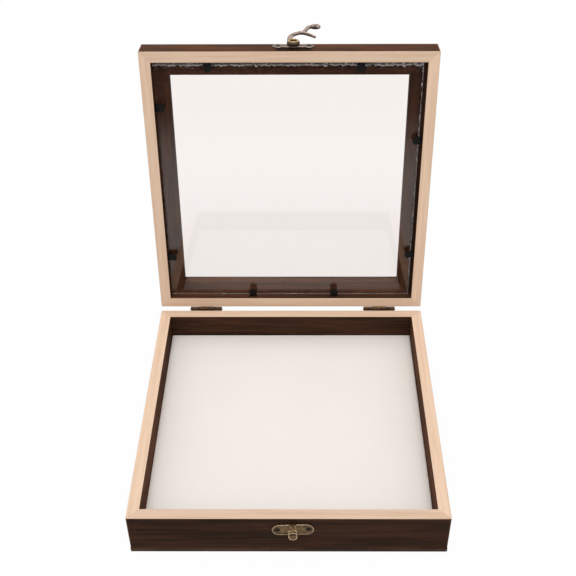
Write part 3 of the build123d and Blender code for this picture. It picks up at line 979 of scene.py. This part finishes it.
def hollow_rivet(place):
    """The rivet's ring is rubbed, with one painted glint beside it, and the hollow in it is dark."""
    x, y, z = place.parts()
    across = x - rivet_seat.x
    up = z - rivet_seat.z
    out = distance(across, up)
    on_top = 1 - y.ramp(rivet_top + 0.95, rivet_top + 1.1)
    ring = out.ramp(dimple_radius - 0.3, dimple_radius) * on_top
    hollow = (1 - out.ramp(dimple_radius - 0.7, dimple_radius - 0.2)) * on_top
    # A painted glint: one small bright spot beside the ring.
    glint = 1 - distance(across - rivet_glint[0], up - rivet_glint[1]).ramp(0.4, 0.9)
    return ring.larger(glint), hollow * 0.7


latch_finish = {
    "latch_plate": bronze_worn_and_shaded("latch_plate", True, 73.0, latch_tones),
    # The rivet's sides, which face from the light, are painted dark as shade.
    "latch_rivet": bronze_worn_and_shaded("latch_rivet", True, 79.0, rivet_tones, (0.15, 0.7), extra=hollow_rivet),
}
for node, finish in latch_finish.items():
    metal = cast_mesh(f"{node}_worn", cad_copy(node), latch_out)
    metal.materials.append(finish)
    add_piece(f"{node}_worn", metal, "lid", "antique_bronze", node)

# Swing hook. One small casting, tumbled and plated: an eye on the rivet, a curved shaft that
# forks into a prong for the catch and a horn, and a thumb disc on the horn's end.
hook_across = Vector((1, 0, 0))
hook_axes = Matrix((hook_across, latch_out.cross(hook_across), latch_out)).transposed()
hook_place = Matrix.Translation(latch["pos_m"]) @ hook_axes.to_4x4()
hook_voxel = 0.14 * mm
hook_tones = ((184, 162, 150), (146, 124, 110), (214, 194, 180))
eye_radius = 4.4
eye_hole = 1.6
eye_low = 1.75
eye_high = 3.35
eye_half_thick = 0.8
arm_half_thick = 1.2
arm_middle = 3.87
arm_rise = (3.2, 7.8)
thumb_rise = (20.0, 25.5)
thumb_middle = 5.3
thumb_place = (15.0, 27.4)
thumb_radius = 3.75
thumb_glint = (1.9, -2.6)
shaft_line = [(-2.0, 1.0, 1.7), (-2.4, 2.8, 1.75), (-2.5, 5.5, 1.8), (-1.8, 9.8, 1.75), (0.1, 13.9, 1.55),
              (3.0, 16.9, 1.45), (5.9, 18.7, 1.45), (8.0, 21.6, 1.45), (9.9, 25.0, 1.5), (12.3, 27.2, 1.8),
              (14.4, 27.4, 2.1)]
prong_line = [(4.4, 17.7, 1.05), (7.1, 17.2, 1.1), (9.1, 15.4, 1.0), (11.9, 12.3, 0.9), (14.6, 8.45, 0.75)]


def smooth_line(points, pieces):
    """A smooth curve through points (Catmull-Rom), with this many steps between two of them."""
    points = [np.array(point, float) for point in points]
    ends = [2 * points[0] - points[1], *points, 2 * points[-1] - points[-2]]
    line = []
    for a, b, c, d in zip(ends, ends[1:], ends[2:], ends[3:]):
        for t in np.arange(pieces) / pieces:
            line.append(0.5 * (2 * b + (c - a) * t + (2 * a - 5 * b + 4 * c - d) * t**2
                               + (3 * b - a - 3 * c + d) * t**3))
    line.append(points[-1])
    return line


def share_of(rise, y):
    """How far y has come along a rise, from 0 at its foot to 1 at its top."""
    foot, top = rise
    return min(max((y - foot) / (top - foot), 0), 1)


def hook_height(y):
    """How far the middle of the metal stands off the lid: up from the eye, and again to the thumb."""
    shares = (share_of(arm_rise, y), share_of(thumb_rise, y))
    rise, lift = [share * share * (3 - 2 * share) for share in shares]
    eye_middle = (eye_low + eye_high) / 2
    return eye_middle + (arm_middle - eye_middle) * rise + (thumb_middle - arm_middle) * lift


def join_rings(made, rings):
    """Faces between each ring of points and the next."""
    for low, high in zip(rings, rings[1:]):
        for k in range(len(low)):
            made.faces.new((low[k - 1], low[k], high[k], high[k - 1]))


def add_limb(made, line):
    """A rounded bar along a line of places and half widths, flatter at the eye, closed at its ends."""
    around = 16
    places = smooth_line(line, 6)
    rings = []
    for k, (x, y, half) in enumerate(places):
        before = places[max(k - 1, 0)]
        after = places[min(k + 1, len(places) - 1)]
        ahead = (after - before)[:2]
        side = np.array([-ahead[1], ahead[0]]) / np.hypot(*ahead)
        away = share_of(arm_rise, y)
        thick = min(eye_half_thick + (arm_half_thick - eye_half_thick) * away, half * 1.2)
        ring = []
        for step in range(around):
            angle = math.tau * step / around
            out = half * math.cos(angle)
            up = thick * math.sin(angle)
            ring.append(made.verts.new((x + side[0] * out, y + side[1] * out, hook_height(y) + up)))
        rings.append(ring)
    join_rings(made, rings)
    made.faces.new(rings[0])
    made.faces.new(rings[-1][::-1])


def add_turned(made, centre, profile, closed):
    """A shape turned round an upright axis at centre from a profile of radius and height."""
    around = 40
    rings = []
    for radius, height in profile:
        ring = []
        for step in range(around):
            angle = math.tau * step / around
            x = centre[0] + radius * math.cos(angle)
            y = centre[1] + radius * math.sin(angle)
            ring.append(made.verts.new((x, y, height)))
        rings.append(ring)
    if closed:
        rings.append(rings[0])
    join_rings(made, rings)
    if not closed:
        made.faces.new(rings[0][::-1])
        made.faces.new(rings[-1])


def hook_mesh():
    """The hook's limbs, eye and thumb disc, run together into one smooth casting."""
    made = bmesh.new()
    add_limb(made, shaft_line)
    add_limb(made, prong_line)
    bevel = 0.35
    eye = [(eye_hole, eye_low), (eye_radius - bevel, eye_low), (eye_radius, eye_low + bevel),
           (eye_radius, eye_high - bevel), (eye_radius - bevel, eye_high), (eye_hole, eye_high)]
    add_turned(made, (0, 0), eye, True)
    disc = [(0.3, -1.4), (thumb_radius - 1.5, -1.3), (thumb_radius - 0.45, -0.9), (thumb_radius, 0.0),
            (thumb_radius - 0.45, 0.85), (thumb_radius - 1.6, 1.25), (0.3, 1.3)]
    add_turned(made, thumb_place, [(radius, thumb_middle + height) for radius, height in disc], False)
    bmesh.ops.recalc_face_normals(made, faces=made.faces)
    bmesh.ops.scale(made, vec=(mm, mm, mm), verts=made.verts)
    mesh = mesh_from(made, "hook")
    mesh.transform(hook_place)
    return mesh


def hook_shade_and_glint(place):
    """The eye under the rivet and the lower edge of the thumb disc are painted dark, as shade, but for
    one painted glint on the disc."""
    x, y, z = place.parts()
    across = x - rivet_seat.x
    up = z - rivet_seat.z
    eye = 1 - distance(across, up).ramp(eye_radius + 0.1, eye_radius + 1.6)
    across = across - thumb_place[0]
    up = up - thumb_place[1]
    # Painted shade on the disc's lower edge, and a painted glint on it.
    disc = (1 - distance(across, up).ramp(4.2, 5.0)) * up.ramp(-1.8, -3.2)
    glint = 1 - distance(across - thumb_glint[0], up - thumb_glint[1]).ramp(0.6, 1.5)
    return glint, (eye * 0.95).larger(disc * 0.9) * (1 - glint)


hook = cast_mesh("latch_hook_cast", hook_mesh(), latch_out, hook_voxel, 6)
# The hook's underside, turned from the light, is painted dark as shade.
hook.materials.append(bronze_worn_and_shaded("latch_hook", True, 87.0, hook_tones, (0.2, 0.8), 0.02, hook_shade_and_glint))
add_piece("latch_hook_cast", hook, "hook", "antique_bronze", "latch_hook")

# Floor, light and camera. The box stands on a pale floor that runs on into a white surround, and
# one broad soft lamp hangs above it, at the level of plain daylight.
floor_half = 1.6
floor_drop = 0.05 * mm
floor_white = (250, 250, 250)
floor_glow = 0.965
floor_dark = 0.06
floor_shadow_through_glass = (0.86, 0.985)
dark_from = -0.64
dark_to = -0.26
sky_level = 0.62
lamp_place = Vector((0.0, -0.1, 1.4))
lamp_size = 1.1
lamp_watts = 9.0
camera_place = Vector((7.68, -469.5, 503.77)) * mm
camera_yaw = 0.4111
camera_pitch = 39.7018
camera_roll = 0.2802
camera_lens = 59.8017
camera_shift = (-0.0132, 0.04165)


def ray_kinds(start):
    """Whether a ray comes from the camera, from a mirror, through glass, or was mirrored on its way."""
    path = start.node("ShaderNodeLightPath").socket.node.outputs
    kinds = ("Is Camera Ray", "Is Glossy Ray", "Is Transmission Ray", "Glossy Depth")
    seen, mirrored, through, bounces = [Wire(start.tree, path[name]) for name in kinds]
    return seen, mirrored, through, bounces.smaller(1.0)


def pale_floor():
    """White where it is seen, with a faint shadow. Seen through glass it glows with a painted shadow, darker
    near the box. In a mirror its far front lies in the dark.
    """
    made, start = new_material("floor")
    seen, mirrored, through, turned = ray_kinds(start)
    x, y, z = start.node("ShaderNodeTexCoord", output="Object").parts()

    def glow(strength):
        return start.node("ShaderNodeEmission", {}, {"Strength": strength})

    lit = start.node("ShaderNodeBsdfDiffuse", {}, {"Color": colour(floor_white)})
    white = glow(1.0)
    # Painted shadow: seen through the glass, the floor glows less near the box.
    near, far = floor_shadow_through_glass
    away = abs(x).larger(abs(y)).ramp(0.12, 0.5)
    mixed = (seen * floor_glow).shader_between(lit, white)
    mixed = mirrored.shader_between(mixed, white)
    mixed = through.shader_between(mixed, away.shader_between(glow(near), glow(far)))
    far_front = turned * (1 - y.ramp(dark_from, dark_to))
    mixed = far_front.shader_between(mixed, glow(floor_dark))
    start.node("ShaderNodeOutputMaterial", {}, {"Surface": mixed})
    return made


floor_mesh = bpy.data.meshes.new("floor")
corners = [(x * floor_half, y * floor_half, -floor_drop) for x, y in ((-1, -1), (1, -1), (1, 1), (-1, 1))]
floor_mesh.from_pydata(corners, [], [(0, 1, 2, 3)])
floor_mesh.materials.append(pale_floor())
add_object("floor", floor_mesh)

world = bpy.data.worlds.new("surround")
world.use_nodes = True
world.node_tree.nodes.clear()
start = Wire(world.node_tree)
white = start.node("ShaderNodeBackground", {}, {"Color": (1, 1, 1, 1), "Strength": 1.0})
sky = start.node("ShaderNodeBackground", {}, {"Color": (1, 0.99, 0.98, 1), "Strength": sky_level})
seen, mirrored, through, _ = ray_kinds(start)
mixed = seen.larger(mirrored).larger(through).shader_between(sky, white)
start.node("ShaderNodeOutputWorld", {}, {"Surface": mixed})
bpy.context.scene.world = world

light = bpy.data.lights.new("top_lamp", "AREA")
light.shape = "SQUARE"
light.size = lamp_size
light.energy = lamp_watts
facing = (-lamp_place).to_track_quat("-Z", "Y").to_matrix().to_4x4()
add_object("top_lamp", light).matrix_world = Matrix.Translation(lamp_place) @ facing

camera_data = bpy.data.cameras.new("camera")
camera_data.sensor_width = 36
camera_data.lens = camera_lens
camera_data.shift_x, camera_data.shift_y = camera_shift
camera = add_object("camera", camera_data)
heading = Matrix.Rotation(math.radians(camera_yaw), 4, "Z")
tilt = Matrix.Rotation(math.radians(90 - camera_pitch), 4, "X")
lean = Matrix.Rotation(math.radians(-camera_roll), 4, "Z")
camera.matrix_world = Matrix.Translation(camera_place) @ heading @ tilt @ lean
bpy.context.scene.camera = camera
bpy.context.scene.view_settings.view_transform = "Standard"
